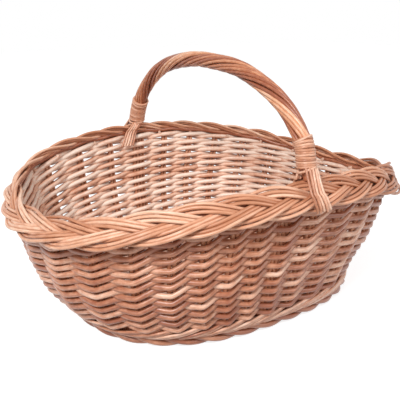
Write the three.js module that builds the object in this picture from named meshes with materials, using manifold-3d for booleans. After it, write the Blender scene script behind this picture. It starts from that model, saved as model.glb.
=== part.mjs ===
// Wicker herb basket: an oval stake-and-strand basket with a plaited border and a roped cross handle.
// Millimetres. +X runs along the basket, +Z up. The origin is on the floor below the middle.
import * as THREE from "three";
import { mergeVertices } from "three/addons/utils/BufferGeometryUtils.js";
import Module from "manifold-3d";

const wasm = await Module();
wasm.setup();

// Clearance between pieces that touch on the real basket
const seatGap = 0.3;
const weaveGap = 0.45;

// Plan of the basket: the centre line of the border and of the foot
const borderLength = 430;
const borderWidth = 356;
const footLength = 334;
const footWidth = 274;
const footShift = 4;
const ovalFullness = 2.25;

// Heights of the border's centre line: the rim dips towards both ends
const rimHeight = 138;
const rimDip = 16;

// Base
const stickDiameter = 4.6;
const crossStickCount = 2;
const crossStickSpacing = 110;
const stickCrossingGap = 0.4;
const baseWeaveThickness = 5;
const baseCentreHeight = 6.5;
const baseRounds = 6;
const baseRoundRelief = 2.4;
const baseSteps = 22;

// Foot border, rolled from the stake ends, which stands on the floor
const footBorderDiameter = 13;
const footSteps = 42;
const footSides = 8;
const upsettDiameter = 4.8;
const upsettHeight = 0.06;
const upsettGap = 0.6;

// Side stakes: each is a pair of thin rods laid side by side. Their drift from even spacing is the
// sine and cosine of one and of two waves round the basket, so they are closest along the front.
const stakeCount = 28;
const stakeStart = 0.0072;
const stakeDriftOnce = { sine: 0.0065, cosine: -0.0192 };
const stakeDriftTwice = { sine: 0.0137, cosine: 0.0153 };
const stakeThickness = 4;
const stakeWidth = 7;
const handleStakeWidth = 14;
const stakeSteps = 6;

// Siding: each row passes outside one stake and inside the next
const rowCount = 13;
const rodThickness = 4.6;
const rodHeight = 5.2;
const lowestRow = 0.145;
const highestRow = 0.93;
const stakeOverhang = 1.2;
const wallBelly = 12.4;
const bellyHeight = 0.65;
const bellyLean = 5;

// Border: a five-strand plait, tilted so that its broad face looks outwards and up. Its repeats
// stand closer together along the sides than round the ends.
const plaitStrands = 5;
const plaitWidth = 34;
const plaitThickness = 17;
const strandWidth = 8.6;
const strandThickness = 5.2;
const plaitTilt = THREE.MathUtils.degToRad(45);
const plaitRepeats = 6;
const plaitCrowding = 0.0716;
const plaitPhase = 0.124;
const stepsPerRepeat = 11;
const strandSides = 5;
const stakeTopInset = 7;
const stakeTopDrop = 12.9;
const stakeTipReach = 10;

// Handle: a bow that springs from the border at mid-length, wrapped in rods like a rope.
// Its heights are measured from the border's centre line there.
const archRise = 110;
const archSpringDrop = 17;
const archShift = -4;
const archFullness = 2.25;
const bowDiameter = 8;
const bowFootRise = 14.5;
const ropeDiameter = 17;
const ropeFurrow = 1.4;
const ropeStrands = 4;
const ropeTurns = 3;
const boreClearance = 0.5;
const ropeSteps = 48;
const bowSteps = 40;

// Bindings: a flat skein wound round each leg where the rope ends
const bindingRise = 23;
const bindingTurns = 7;
const skeinWidth = 2.7;
const skeinThickness = 1.2;
const bindingPitch = 3.7;
const bindingSteps = 12;

// Rod ends below each binding, spread over the outside and the inside of the border
const spreadThickness = 3.4;
const spreadTopWidth = 14;
const outerEndWidth = 20;
const innerEndWidth = 17;
const spreadRods = 4;
const outerSlant = 13;
const innerSlant = 9;
const spreadSteps = 7;
const plaitShoulder = 1.8;
const outerHug = [80, 58, 30, 4, -25];
const innerHug = [188, 206, 224, 242, 258];
const innerTopDrop = 3.9;

const willowBuff = { color: 0xc98a62, roughness: 0.62, metalness: 0 };
const willowPale = { color: 0xd9ab8b, roughness: 0.66, metalness: 0 };
const willowRed = { color: 0xb9764f, roughness: 0.6, metalness: 0 };

const up = new THREE.Vector3(0, 0, 1);
const alongX = new THREE.Vector3(1, 0, 0);

// Geometry helpers

// A convex or lobed outline with one corner per entry, as seen against the direction of travel.
function polygon(sides, halfWidth, halfThickness, turn = 0) {
  const corners = [];
  for (let i = 0; i < sides; i++) {
    const angle = turn + (2 * Math.PI * i) / sides;
    corners.push(new THREE.Vector2(halfWidth * Math.cos(angle), halfThickness * Math.sin(angle)));
  }
  return corners;
}

// Places a flat outline in space: its x lies along across, made square to the tangent.
function placeOutline(outline, { origin, tangent, across }) {
  const e1 = across.clone().addScaledVector(tangent, -across.dot(tangent)).normalize();
  const e2 = new THREE.Vector3().crossVectors(tangent, e1).normalize();
  return outline.map((corner) =>
    origin.clone().addScaledVector(e1, corner.x).addScaledVector(e2, corner.y),
  );
}

// Skins a row of rings into one solid. An open row gets a flat cap at each end.
function loft(rings, outline, closed) {
  const count = rings[0].length;
  const spans = closed ? rings.length : rings.length - 1;
  const faces = [];
  for (let ring = 0; ring < spans; ring++) {
    const here = ring * count;
    const next = ((ring + 1) % rings.length) * count;
    for (let i = 0; i < count; i++) {
      const j = (i + 1) % count;
      faces.push(here + i, here + j, next + j);
      faces.push(here + i, next + j, next + i);
    }
  }
  if (!closed) {
    const end = spans * count;
    for (const [a, b, c] of THREE.ShapeUtils.triangulateShape(outline, [])) {
      faces.push(a, c, b);
      faces.push(end + a, end + b, end + c);
    }
  }
  const positions = rings.flat().flatMap((point) => [point.x, point.y, point.z]);
  return new THREE.BufferGeometry()
    .setAttribute("position", new THREE.Float32BufferAttribute(positions, 3))
    .setIndex(faces);
}

// Sweeps an outline through a list of frames; the outline may change with the frame's index.
function sweep(frames, outlineAt, closed = false) {
  const rings = frames.map((frame, index) => placeOutline(outlineAt(index), frame));
  return loft(rings, outlineAt(0), closed);
}

// Frames at a list of points, each with its tangent taken from the points beside it.
function framesThrough(points, acrossAt, closed = false) {
  const count = points.length;
  return points.map((origin, index) => {
    const before = closed ? points[(index + count - 1) % count] : points[Math.max(index - 1, 0)];
    const after = closed ? points[(index + 1) % count] : points[Math.min(index + 1, count - 1)];
    const tangent = after.clone().sub(before).normalize();
    return { origin, tangent, across: acrossAt(index) };
  });
}

// A round rod along a curve.
function rodAlong(curve, diameter, sides, steps) {
  const outline = new THREE.Shape(polygon(sides, diameter / 2, diameter / 2));
  return new THREE.ExtrudeGeometry(outline, {
    steps,
    bevelEnabled: false,
    extrudePath: curve,
  });
}

function solidOf(geometry) {
  const bare = geometry.clone();
  bare.deleteAttribute("normal");
  bare.deleteAttribute("uv");
  const merged = mergeVertices(bare, 1e-4);
  return new wasm.Manifold(
    new wasm.Mesh({
      numProp: 3,
      vertProperties: merged.getAttribute("position").array,
      triVerts: new Uint32Array(merged.index.array),
    }),
  );
}

function geometryOf(solid) {
  const mesh = solid.getMesh();
  return new THREE.BufferGeometry()
    .setAttribute("position", new THREE.BufferAttribute(mesh.vertProperties, 3))
    .setIndex(new THREE.BufferAttribute(mesh.triVerts, 1));
}

// Plan curves and the wall's surface

// A closed oval ring on the floor plan, evenly parametrised by arc length from its +X end.
function ovalRing(length, width, shift = 0) {
  const corners = 96;
  const points = [];
  for (let i = 0; i < corners; i++) {
    const angle = (2 * Math.PI * i) / corners;
    const c = Math.cos(angle);
    const s = Math.sin(angle);
    const x = (length / 2) * Math.sign(c) * Math.abs(c) ** (2 / ovalFullness);
    const y = (width / 2) * Math.sign(s) * Math.abs(s) ** (2 / ovalFullness);
    points.push(new THREE.Vector3(x + shift, y, 0));
  }
  const ring = new THREE.CatmullRomCurve3(points, true, "centripetal");
  ring.arcLengthDivisions = 960;
  return ring;
}

const borderRing = ovalRing(borderLength, borderWidth);
const footRing = ovalRing(footLength, footWidth, footShift);

const wrap = (u) => ((u % 1) + 1) % 1;

function outwardAt(ring, u) {
  const tangent = ring.getTangentAt(wrap(u));
  return new THREE.Vector3(tangent.y, -tangent.x, 0).normalize();
}

function rimHeightAt(point) {
  const towardsEnd = Math.abs((2 * point.x) / borderLength) ** ovalFullness;
  const towardsSide = Math.abs((2 * point.y) / borderWidth) ** ovalFullness;
  return rimHeight + rimDip * (towardsSide - towardsEnd);
}

// Centre of the border at a share u of the way round.
function borderPoint(u) {
  const point = borderRing.getPointAt(wrap(u));
  point.z = rimHeightAt(point);
  return point;
}

const footTop = footBorderDiameter * Math.cos(Math.PI / footSides);
const stakeFoot = footTop + seatGap + stakeThickness / 2;

// Middle of the wall at a share u round and a share v of the way up a stake's own curve.
function wallStation(u, v) {
  const foot = footRing.getPointAt(wrap(u));
  const outward = outwardAt(borderRing, u);
  const top = borderPoint(u).addScaledVector(outward, -stakeTopInset);
  const fullness = Math.sin(Math.PI * v ** bellyHeight);
  const point = foot.lerp(top, v).addScaledVector(outward, wallBelly * fullness);
  point.x -= bellyLean * fullness;
  point.z = stakeFoot + (top.z - stakeTopDrop - stakeFoot) * v;
  return point;
}

// The same, on the straight lengths between a stake's stations, so that the rods lie on it.
function wallPoint(u, v) {
  const below = Math.min(Math.floor(v * stakeSteps), stakeSteps - 1);
  const low = wallStation(u, below / stakeSteps);
  return low.lerp(wallStation(u, (below + 1) / stakeSteps), v * stakeSteps - below);
}

function wallNormal(u, v) {
  const step = 0.004;
  const lowV = Math.max(v - step, 0);
  const highV = Math.min(v + step, 1);
  const around = wallPoint(u + step, v).sub(wallPoint(u - step, v));
  const upwards = wallPoint(u, highV).sub(wallPoint(u, lowV));
  return around.cross(upwards).normalize();
}

// Share of the way round at which a stake stands.
function stakeShare(index) {
  const share = index / stakeCount;
  const angle = 2 * Math.PI * share;
  const once = stakeDriftOnce.sine * Math.sin(angle) + stakeDriftOnce.cosine * Math.cos(angle);
  const twice =
    stakeDriftTwice.sine * Math.sin(2 * angle) + stakeDriftTwice.cosine * Math.cos(2 * angle);
  return share + stakeStart + once + twice;
}

// Pieces

const basket = new THREE.Group();

function addPiece(parent, name, geometry, finish) {
  const piece = new THREE.Mesh(geometry, new THREE.MeshStandardMaterial(finish));
  piece.name = name;
  parent.add(piece);
  return piece;
}

const strandIndexes = Array.from({ length: plaitStrands }, (_, strand) => strand);

const numbered = (name, index, digits = 1) => `${name}_${String(index + 1).padStart(digits, "0")}`;

// Half the width of the base, inside the foot border, at a distance from its middle line.
const baseHalfLength = footLength / 2 - footBorderDiameter / 2 - seatGap;
const baseHalfWidth = footWidth / 2 - footBorderDiameter / 2 - seatGap;

function reachAcross(offset, halfAcross, halfAlong) {
  const share = Math.abs(offset / halfAcross) ** ovalFullness;
  return halfAlong * (1 - share) ** (1 / ovalFullness);
}

// One base stick as a solid, grown all round by extra for the groove it lies in.
function baseStick(offset, isLong, extra = 0) {
  const reach = isLong
    ? reachAcross(offset, baseHalfWidth, baseHalfLength)
    : reachAcross(offset, baseHalfLength, baseHalfWidth);
  const length = 2 * (reach - stickDiameter) + 20 * extra;
  const radius = stickDiameter / 2 + extra;
  const rise = (stickDiameter + stickCrossingGap) / 2;
  const stick = new THREE.CylinderGeometry(radius, radius, length, 8);
  if (isLong) {
    stick.rotateZ(Math.PI / 2);
    stick.translate(footShift, offset, baseCentreHeight + rise);
  } else {
    stick.translate(footShift + offset, 0, baseCentreHeight - rise);
  }
  return stick;
}

function spread(count, spacing) {
  return Array.from({ length: count }, (_, i) => (i - (count - 1) / 2) * spacing);
}

// The woven part of the base: oval rounds that stand up as ridges on its upper and lower faces.
function baseRoundsPlate() {
  const edge = [];
  for (let i = 0; i < baseSteps; i++) {
    const u = i / baseSteps;
    const point = footRing.getPointAt(u);
    edge.push(point.addScaledVector(outwardAt(footRing, u), -footBorderDiameter / 2 - seatGap));
  }
  const bands = 2 * baseRounds;
  const bandsOut = Array.from({ length: bands }, (_, k) => k + 1);
  const ringAt = (band, face) => {
    const ridge = band % 2 ? baseRoundRelief : 0;
    const z = baseCentreHeight + face * (baseWeaveThickness / 2 + ridge / 2);
    const share = band / bands;
    return edge.map(({ x, y }) => new THREE.Vector3(footShift + (x - footShift) * share, y * share, z));
  };
  const rings = [
    ...bandsOut.map((band) => ringAt(band, -1)),
    ...bandsOut.reverse().map((band) => ringAt(band, 1)),
  ];
  return loft(rings, rings[0], false);
}

function buildBase() {
  const base = new THREE.Group();
  const crossOffsets = spread(crossStickCount, crossStickSpacing);
  let weave = solidOf(baseRoundsPlate()).subtract(solidOf(baseStick(0, true, seatGap)));
  for (const offset of crossOffsets) {
    weave = weave.subtract(solidOf(baseStick(offset, false, seatGap)));
  }
  addPiece(base, "base_weave", geometryOf(weave), willowPale);
  addPiece(base, "base_long_stick", baseStick(0, true), willowBuff);
  crossOffsets.forEach((offset, i) => {
    addPiece(base, numbered("base_cross_stick", i), baseStick(offset, false), willowBuff);
  });
  return base;
}

function buildFoot() {
  const foot = new THREE.Group();
  const turn = Math.PI / footSides;
  const outline = polygon(footSides, footBorderDiameter / 2, footBorderDiameter / 2, turn);
  const frames = [];
  const wale = [];
  const waleReach = (stakeThickness + upsettDiameter) / 2 + upsettGap;
  for (let i = 0; i < footSteps; i++) {
    const u = i / footSteps;
    const origin = footRing.getPointAt(u);
    origin.z = footTop / 2;
    frames.push({ origin, tangent: footRing.getTangentAt(u), across: outwardAt(footRing, u) });
    const waleNormal = wallNormal(u, upsettHeight);
    wale.push(wallPoint(u, upsettHeight).addScaledVector(waleNormal, waleReach));
  }
  const border = sweep(frames, () => outline, true);
  addPiece(foot, "foot_border", border, willowBuff);
  const waleOutline = polygon(5, upsettDiameter / 2, upsettDiameter / 2);
  const waleFrames = framesThrough(wale, (i) => outwardAt(footRing, i / footSteps), true);
  addPiece(foot, "upsett_wale", sweep(waleFrames, () => waleOutline, true), willowPale);
  return foot;
}

// The two stakes under the handle carry the ends of its rods, and are four rods wide.
function stakeWidthAt(index) {
  const quarter = stakeCount / 4;
  const onHandle = index === Math.round(quarter) || index === Math.round(3 * quarter);
  return onHandle ? handleStakeWidth : stakeWidth;
}

// Each stake's tip reaches in among the strands of the border and is cut to fit them.
function buildStakes() {
  const stakes = new THREE.Group();
  const half = stakeThickness / 2;
  const strands = strandIndexes.map((strand) => solidOf(borderStrand(strand, seatGap)));
  for (let i = 0; i < stakeCount; i++) {
    const u = stakeShare(i);
    const halfWidth = stakeWidthAt(i) / 2;
    const outline = [
      new THREE.Vector2(0, -halfWidth),
      new THREE.Vector2(half, half - halfWidth),
      new THREE.Vector2(half, halfWidth - half),
      new THREE.Vector2(0, halfWidth),
      new THREE.Vector2(-half, halfWidth - half),
      new THREE.Vector2(-half, half - halfWidth),
    ];
    const heights = Array.from({ length: stakeSteps + 1 }, (_, k) => k / stakeSteps);
    const points = heights.map((v) => wallPoint(u, v));
    const upwards = points[stakeSteps].clone().sub(points[stakeSteps - 1]);
    points.push(points[stakeSteps].clone().add(upwards.setLength(stakeTipReach)));
    const frames = framesThrough(points, (k) => wallNormal(u, Math.min(k / stakeSteps, 1)));
    let stake = solidOf(sweep(frames, () => outline));
    for (const strand of strands) {
      stake = stake.subtract(strand);
    }
    const rods = stake.decompose().sort((a, b) => b.volume() - a.volume());
    addPiece(stakes, numbered("side_stake", i, 2), geometryOf(rods[0]), willowBuff);
  }
  return stakes;
}

// Distance from the middle of the wall to the middle of a rod that lies on a stake.
const rodReach = (stakeThickness + rodThickness) / 2 + weaveGap;

function buildSiding() {
  const siding = new THREE.Group();
  const outline = polygon(4, rodThickness / Math.SQRT2, rodHeight / Math.SQRT2, Math.PI / 4);
  for (let row = 0; row < rowCount; row++) {
    const v = lowestRow + ((highestRow - lowestRow) * row) / (rowCount - 1);
    const points = [];
    const normals = [];
    for (let i = 0; i < stakeCount; i++) {
      const side = (i + row) % 2 ? -1 : 1;
      const cover = (stakeWidthAt(i) / 2 + stakeOverhang) / borderRing.getLength();
      for (const offset of [-cover, cover]) {
        const u = stakeShare(i) + offset;
        const normal = wallNormal(u, v);
        points.push(wallPoint(u, v).addScaledVector(normal, side * rodReach));
        normals.push(normal);
      }
    }
    const frames = framesThrough(points, (k) => normals[k], true);
    const name = numbered("siding_row", row, 2);
    addPiece(siding, name, sweep(frames, () => outline, true), willowPale);
  }
  return siding;
}

// Directions across the plait: along its width, from the inner upper edge to the outer lower
// edge, and square to its broad face.
function plaitAxes(u) {
  const outward = outwardAt(borderRing, u);
  const width = outward.clone().multiplyScalar(Math.sin(plaitTilt));
  width.addScaledVector(up, -Math.cos(plaitTilt));
  const face = outward.clone().multiplyScalar(Math.cos(plaitTilt));
  face.addScaledVector(up, Math.sin(plaitTilt));
  return { width, face };
}

// One strand of the border, grown all round by extra for the room it needs.
function borderStrand(strand, extra = 0) {
  const steps = plaitRepeats * stepsPerRepeat;
  const sway = (plaitWidth - strandWidth) / 2;
  const lift = (plaitThickness - strandThickness) / 2;
  const outline = polygon(strandSides, strandWidth / 2 + extra, strandThickness / 2 + extra);
  const points = [];
  for (let i = 0; i < steps; i++) {
    const u = i / steps;
    const turns = plaitRepeats * u - plaitCrowding * Math.sin(4 * Math.PI * u);
    const phase = 2 * Math.PI * (turns + strand / plaitStrands + plaitPhase);
    const { width, face } = plaitAxes(u);
    const point = borderPoint(u);
    point.addScaledVector(width, sway * Math.sin(phase));
    point.addScaledVector(face, -lift * Math.sin(2 * phase));
    points.push(point);
  }
  const frames = framesThrough(points, (i) => plaitAxes(i / steps).width, true);
  return sweep(frames, () => outline, true);
}

function buildBorder() {
  const border = new THREE.Group();
  for (const strand of strandIndexes) {
    addPiece(border, numbered("border_strand", strand), borderStrand(strand), willowRed);
  }
  return border;
}

// Handle

// A leg of the handle seen from the end of the basket: side is -1 at the front, 1 at the back.
const sides = { front: -1, back: 1 };

const borderAtHandle = { reach: borderWidth / 2, height: rimHeight + rimDip };
const archTop = borderAtHandle.height + archRise;
const archSpring = borderAtHandle.height - archSpringDrop;
const bowFoot = borderAtHandle.height + bowFootRise;
const bindingBottom = borderAtHandle.height + bindingRise;

function archPoint(angle) {
  const c = Math.cos(angle);
  const s = Math.sin(angle);
  const reach = Math.sign(c) * Math.abs(c) ** (2 / archFullness);
  const rise = Math.abs(s) ** (2 / archFullness);
  return new THREE.Vector3(
    0,
    archShift + borderAtHandle.reach * reach,
    archSpring + (archTop - archSpring) * rise,
  );
}

// Angle of the arch at which its centre line passes a height, on the back leg.
function archAngleAt(height) {
  const share = (height - archSpring) / (archTop - archSpring);
  return Math.asin(share ** (archFullness / 2));
}

function bowCurve() {
  const lowAngle = archAngleAt(bowFoot);
  const arch = [];
  const archPieces = 24;
  for (let i = 0; i <= archPieces; i++) {
    arch.push(archPoint(Math.PI - lowAngle - ((Math.PI - 2 * lowAngle) * i) / archPieces));
  }
  const curve = new THREE.CatmullRomCurve3(arch, false, "centripetal");
  curve.arcLengthDivisions = 800;
  return curve;
}

const bow = bowCurve();

// Share of the bow's length at which it passes a height on one leg.
function shareAtHeight(height, side) {
  let low = side < 0 ? 0 : 1;
  let high = 0.5;
  for (let i = 0; i < 40; i++) {
    const middle = (low + high) / 2;
    if (bow.getPointAt(middle).z < height) {
      low = middle;
    } else {
      high = middle;
    }
  }
  return (low + high) / 2;
}

const frameOnBow = (share) => ({
  origin: bow.getPointAt(share),
  tangent: bow.getTangentAt(share),
  across: alongX,
});

function buildRope(fromShare, toShare) {
  const lobes = 2 * ropeStrands;
  const outlineAt = (index) => {
    const turn = (2 * Math.PI * ropeTurns * index) / ropeSteps;
    return Array.from({ length: lobes }, (_, i) => {
      const angle = turn + (2 * Math.PI * i) / lobes;
      const radius = ropeDiameter / 2 - (i % 2 ? ropeFurrow : 0);
      return new THREE.Vector2(radius * Math.cos(angle), radius * Math.sin(angle));
    });
  };
  const frames = [];
  for (let i = 0; i <= ropeSteps; i++) {
    frames.push(frameOnBow(fromShare + ((toShare - fromShare) * i) / ropeSteps));
  }
  const boreRadius = bowDiameter / 2 + boreClearance;
  const bore = polygon(6, boreRadius, boreRadius);
  const boreFrames = [];
  const overrun = 0.004;
  for (let i = 0; i <= ropeSteps; i++) {
    const share = fromShare - overrun + ((toShare - fromShare + 2 * overrun) * i) / ropeSteps;
    boreFrames.push(frameOnBow(share));
  }
  const outer = solidOf(sweep(frames, outlineAt));
  return geometryOf(outer.subtract(solidOf(sweep(boreFrames, () => bore))));
}

// Centre line of one binding, wound round the leg from the bottom up, with straight ends.
function bindingPoints(side) {
  const bottom = shareAtHeight(bindingBottom, side);
  const length = bow.getLength();
  const radius = ropeDiameter / 2 + seatGap + skeinThickness / 2;
  const count = bindingTurns * bindingSteps;
  const points = [];
  for (let i = 0; i <= count; i++) {
    const climbed = (skeinWidth + bindingPitch * (i / bindingSteps)) / length;
    const { origin, tangent } = frameOnBow(bottom - side * climbed);
    const e2 = new THREE.Vector3().crossVectors(tangent, alongX);
    const angle = (2 * Math.PI * i) / bindingSteps;
    origin.addScaledVector(alongX, radius * Math.cos(angle));
    origin.addScaledVector(e2, radius * Math.sin(angle));
    points.push(origin);
  }
  const first = points[0].clone().sub(points[1]).setLength(skeinWidth);
  const last = points[count].clone().sub(points[count - 1]).setLength(skeinWidth);
  return [points[0].clone().add(first), ...points, points[count].clone().add(last)];
}

// Least distance between points at least three quarters of a turn apart, less the skein's width.
function leastGap(points) {
  let least = Infinity;
  const apart = Math.floor(0.75 * bindingSteps);
  for (let i = 0; i < points.length; i++) {
    for (let j = i + apart; j < points.length; j++) {
      least = Math.min(least, points[i].distanceTo(points[j]));
    }
  }
  return least - skeinWidth;
}

function buildBinding(name, side) {
  const points = bindingPoints(side);
  console.log(`${name}: least gap to itself ${leastGap(points).toFixed(2)} mm`);
  const outline = polygon(6, skeinThickness / 2, skeinWidth / 2);
  const centre = (index) => {
    const climbed = (index / points.length) * bindingTurns * bindingPitch;
    const share = shareAtHeight(bindingBottom, side) - (side * climbed) / bow.getLength();
    return bow.getPointAt(share);
  };
  const frames = framesThrough(points, (index) => points[index].clone().sub(centre(index)));
  return sweep(frames, () => outline);
}

// Cross-section of rod ends lying side by side: ribbed on one face, flat on the other.
function ribbedStrip(width) {
  const corners = [];
  const half = spreadThickness / 2;
  const ribs = 2 * spreadRods;
  corners.push(new THREE.Vector2(-width / 2, -half), new THREE.Vector2(width / 2, -half));
  for (let i = ribs; i >= 0; i--) {
    const height = i % 2 ? half : half * 0.25;
    corners.push(new THREE.Vector2(-width / 2 + (width * i) / ribs, height));
  }
  return corners;
}

// A strip of rod ends through [distance from the middle of the basket, height] points.
function buildSpread(profile, side, endWidth, slant) {
  const curve = new THREE.CatmullRomCurve3(
    profile.map(([y, z], i) => {
      const share = i / (profile.length - 1);
      return new THREE.Vector3(-side * slant * share, side * y, z);
    }),
  );
  const frames = [];
  for (let i = 0; i <= spreadSteps; i++) {
    const share = i / spreadSteps;
    const across = alongX.clone().multiplyScalar(side);
    frames.push({ origin: curve.getPointAt(share), tangent: curve.getTangentAt(share), across });
  }
  return sweep(frames, (i) => {
    const width = spreadTopWidth + ((endWidth - spreadTopWidth) * i) / spreadSteps;
    return ribbedStrip(width);
  });
}

// Points of a strip that hugs the plait, from the binding down, on its outside or its inside.
// Each is [distance from the middle of the basket, height].
function spreadProfile(side, outside) {
  const { reach, height } = borderAtHandle;
  const off = spreadThickness / 2 + seatGap;
  const legReach = Math.abs(bow.getPointAt(shareAtHeight(bindingBottom, side)).y);
  const sign = outside ? 1 : -1;
  const drop = outside ? seatGap : innerTopDrop;
  const top = [legReach + sign * (bowDiameter / 2 + off + seatGap), bindingBottom - drop];
  const hug = outside ? outerHug : innerHug;
  return [
    top,
    ...hug.map((degrees) => {
      const angle = THREE.MathUtils.degToRad(degrees);
      const across = (plaitWidth / 2 + off + plaitShoulder) * Math.cos(angle);
      const through = (plaitThickness / 2 + off + plaitShoulder) * Math.sin(angle);
      const outwards = across * Math.sin(plaitTilt) + through * Math.cos(plaitTilt);
      const upwards = through * Math.sin(plaitTilt) - across * Math.cos(plaitTilt);
      return [reach + outwards, height + upwards];
    }),
  ];
}

function buildHandle() {
  const handle = new THREE.Group();
  addPiece(handle, "handle_bow", rodAlong(bow, bowDiameter, 6, bowSteps), willowBuff);
  const fromShare = shareAtHeight(bindingBottom, sides.front);
  const toShare = shareAtHeight(bindingBottom, sides.back);
  addPiece(handle, "handle_rope", buildRope(fromShare, toShare), willowRed);
  for (const [place, side] of Object.entries(sides)) {
    const binding = buildBinding(`binding_${place}`, side);
    addPiece(handle, `binding_${place}`, binding, willowPale);
    const outer = buildSpread(spreadProfile(side, true), side, outerEndWidth, outerSlant);
    addPiece(handle, `outer_rod_ends_${place}`, outer, willowPale);
    const inner = buildSpread(spreadProfile(side, false), side, innerEndWidth, innerSlant);
    addPiece(handle, `inner_rod_ends_${place}`, inner, willowPale);
  }
  return handle;
}

basket.add(buildBase(), buildFoot(), buildStakes(), buildSiding(), buildBorder(), buildHandle());

export default basket;
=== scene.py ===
import math
import random

import bpy
import numpy as np
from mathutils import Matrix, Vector


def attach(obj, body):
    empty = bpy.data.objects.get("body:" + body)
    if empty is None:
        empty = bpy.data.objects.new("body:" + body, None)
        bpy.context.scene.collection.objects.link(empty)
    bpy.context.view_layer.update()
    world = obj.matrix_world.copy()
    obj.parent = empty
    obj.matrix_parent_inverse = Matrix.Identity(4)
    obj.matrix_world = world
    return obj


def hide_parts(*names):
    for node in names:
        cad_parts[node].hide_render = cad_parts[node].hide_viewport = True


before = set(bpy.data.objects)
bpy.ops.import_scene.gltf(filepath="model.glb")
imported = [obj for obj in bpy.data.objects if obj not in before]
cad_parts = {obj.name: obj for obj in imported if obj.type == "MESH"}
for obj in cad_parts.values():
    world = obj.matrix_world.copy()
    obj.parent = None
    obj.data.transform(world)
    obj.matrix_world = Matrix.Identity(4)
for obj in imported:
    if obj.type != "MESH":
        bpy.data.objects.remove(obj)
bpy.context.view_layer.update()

nodeNames = list(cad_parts)
chance = random.Random(11)
upward = np.array([0, 0, 1.0])
print("frame loaded:", len(nodeNames), "nodes")

# The basket's own curves, in metres. u runs once round it from the +X end, v climbs the wall.
shape = {
    "borderLength": 0.430, "borderWidth": 0.356, "fullness": 2.25, "rimHeight": 0.138, "rimDip": 0.016,
    "footLength": 0.322, "footWidth": 0.2675, "footShift": -0.002, "footFullness": (2.45, 2.85),
    "ringSteps": 2880, "topInset": 0.007, "topDrop": 0.0129,
    "belly": 0.0055, "bellyHeight": 0.65, "bellyLean": 0.0082,
    "endPlace": 0.90, "endBreadth": 0.07, "endHeights": (0, 0.12, 0.3, 0.5, 0.7, 0.85, 1),
    "endBulge": (0, -0.0035, -0.003, 0.002, 0.003, 0.0015, 0),
    "stakeCount": 28, "stakeFoot": 0.0143, "stakeStart": 0.0072,
    "stakeWaves": ((1, 0.0065, -0.0192), (2, 0.0137, 0.0153)),
}


def ovalRing(length, width, shift, fullness):
    # dense oval, measured off by arc length; fullness of its -X and of its +X half
    a = np.linspace(0, 2 * math.pi, shape["ringSteps"] + 1)
    c, s = np.cos(a), np.sin(a)
    p = 2 / np.where(c < 0, *fullness)
    xy = np.stack([length / 2 * np.sign(c) * np.abs(c) ** p + shift,
                   width / 2 * np.sign(s) * np.abs(s) ** p], -1)
    run = np.concatenate([[0], np.cumsum(np.linalg.norm(np.diff(xy, axis=0), axis=1))])
    return {"xy": xy, "run": run / run[-1]}


borderRing = ovalRing(shape["borderLength"], shape["borderWidth"], 0.0, (shape["fullness"],) * 2)
footRing = ovalRing(shape["footLength"], shape["footWidth"], shape["footShift"], shape["footFullness"])
# places where the border stands farther out: share of the way round, breadth, how far out and down
bulges = [(0.38, 0.05, 0.0072, 0.0), (0.49, 0.035, 0.0015, 0.0018), (0.90, 0.05, 0.0045, 0.0042),
          (0.09, 0.045, 0.0, -0.0018)]


def ringPoint(ring, u):
    u = np.mod(u, 1.0)
    return np.stack([np.interp(u, ring["run"], ring["xy"][:, k]) for k in (0, 1)], -1)


def ringOutward(ring, u):
    step = 0.002
    d = ringPoint(ring, u + step) - ringPoint(ring, u - step)
    d = d / np.linalg.norm(d, axis=-1, keepdims=True)
    return np.stack([d[..., 1], -d[..., 0], np.zeros(d.shape[:-1])], -1)


def flat(xy, z):
    return np.concatenate([xy, np.broadcast_to(z, xy.shape[:-1])[..., None]], -1)


def aroundPlace(u, middle, breadth):
    # 1 at a place on the ring, fading to 0 on either side
    return np.exp(-((np.mod(u - middle + 0.5, 1) - 0.5) / breadth) ** 2)


def borderPoint(u):
    xy = ringPoint(borderRing, u)
    end = np.abs(2 * xy[..., 0] / shape["borderLength"]) ** shape["fullness"]
    side = np.abs(2 * xy[..., 1] / shape["borderWidth"]) ** shape["fullness"]
    point = flat(xy, shape["rimHeight"] + shape["rimDip"] * (side - end))
    out = ringOutward(borderRing, u)
    for middle, breadth, outward, down in bulges:
        bulge = aroundPlace(u, middle, breadth)[..., None]
        point = point + bulge * (out * outward - upward * down)
    return point


def wallPoint(u, v):
    u, v = np.broadcast_arrays(np.asarray(u, float), np.asarray(v, float))
    out = ringOutward(borderRing, u)
    top = borderPoint(u) - out * shape["topInset"]
    foot = flat(ringPoint(footRing, u), 0.0)
    full = np.sin(math.pi * np.clip(v, 0, 1) ** shape["bellyHeight"])[..., None]
    point = foot + (top - foot) * v[..., None] + out * shape["belly"] * full
    point[..., 0] -= shape["bellyLean"] * full[..., 0]
    # hollow low down and full higher up, round the +X end
    bulge = aroundPlace(u, shape["endPlace"], shape["endBreadth"])
    bulge = bulge * np.interp(v, shape["endHeights"], shape["endBulge"])
    point = point + out * bulge[..., None]
    rise = top[..., 2] - shape["topDrop"] - shape["stakeFoot"]
    point[..., 2] = shape["stakeFoot"] + rise * v
    return point


def wallFrame(u, v):
    # place on the wall, its outward normal and its upward direction
    du, dv = 0.003, 0.01
    around = wallPoint(u + du, v) - wallPoint(u - du, v)
    climb = wallPoint(u, v + dv) - wallPoint(u, v - dv)
    climb /= np.linalg.norm(climb, axis=-1, keepdims=True)
    normal = np.cross(around, climb)
    normal /= np.linalg.norm(normal, axis=-1, keepdims=True)
    return wallPoint(u, v), normal, climb


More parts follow.
